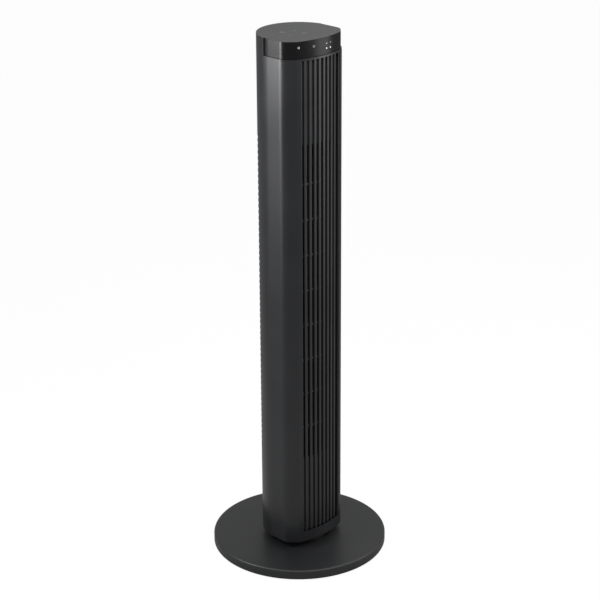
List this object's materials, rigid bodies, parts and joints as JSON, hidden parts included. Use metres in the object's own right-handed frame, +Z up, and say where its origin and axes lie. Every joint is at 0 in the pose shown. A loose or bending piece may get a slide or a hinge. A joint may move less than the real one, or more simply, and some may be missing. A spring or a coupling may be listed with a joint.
{
  "type": "tower fan",
  "caption": "Oscillating tower fan with a ribbed front outlet, slatted rear intake, glossy display band, cross-flow blower and a round weighted base.",
  "frame": {"origin": "centre of the base disc on the floor, on the oscillation axis", "axes": "+Z up along the oscillation axis; the air outlet faces -Y; +X is to the right of someone who faces the outlet"},
  "size_m": [0.302, 0.302, 0.9155],
  "materials": {
    "base_plastic": "semi-gloss moulded",
    "housing_plastic": "satin moulded",
    "display_gloss": "polished",
    "top_satin": "satin moulded",
    "duct_plastic": "matt moulded",
    "rubber": "matt",
    "steel": "zinc plated",
    "gear_plastic": "natural acetal",
    "circuit_board": "solder mask",
    "components": "matt",
    "winding": "varnished copper",
    "bronze": "sintered",
    "hub_metal": "turned"
  },
  "bodies": {
    "base": {"base_cover": "base_plastic", "base_plate": "base_plastic", "ballast_plate": "steel", "rubber_feet": "rubber", "base_screws": "steel", "cord_grommet": "rubber", "pedestal": "housing_plastic", "glide_ring": "gear_plastic", "retaining_ring": "steel", "sun_gear": "gear_plastic", "gear_screws": "steel"},
    "tower": {"bottom_cover": "housing_plastic", "front_housing": "housing_plastic", "rear_housing": "housing_plastic", "front_grille": "housing_plastic", "rear_grille": "housing_plastic", "carry_handle_cup": "housing_plastic", "display_window": "display_gloss", "top_cover": "top_satin", "housing_screws": "steel", "head_frame": "duct_plastic", "display_board": "circuit_board", "control_board": "circuit_board", "touch_springs": "steel", "power_board": "circuit_board", "power_components": "components", "wire_harness": "rubber", "lower_duct_plate": "duct_plastic", "upper_duct_plate": "duct_plastic", "scroll_wall": "duct_plastic", "vortex_tongue": "duct_plastic", "oscillation_bracket": "steel", "oscillation_motor": "steel", "motor_shell": "steel", "motor_stator": "winding", "motor_grommets": "rubber", "motor_screws": "steel", "top_bearing": "bronze", "bearing_mount": "rubber"},
    "blower": {"motor_rotor": "steel", "impeller_hub": "hub_metal", "hub_setscrew": "steel", "blower_wheel": "duct_plastic", "wheel_pin": "steel"},
    "pinion": {"drive_pinion": "gear_plastic"}
  },
  "joints": [
    {"name": "oscillation", "type": "hinge", "parent": "base", "child": "tower", "pos_m": [0, 0, 0.036], "axis": [0, 0, 1], "range_deg": [-45, 45]},
    {"name": "blower_spin", "type": "hinge", "parent": "tower", "child": "blower", "pos_m": [0, 0.006, 0.3], "axis": [0, 0, 1], "continuous": true},
    {"name": "pinion_spin", "type": "hinge", "parent": "tower", "child": "pinion", "pos_m": [0, 0.028, 0.058], "axis": [0, 0, 1], "range_deg": [-120, 120]}
  ],
  "couplings": [
    {"joint": "pinion_spin", "follows": "oscillation", "ratio": 2.5}
  ]
}
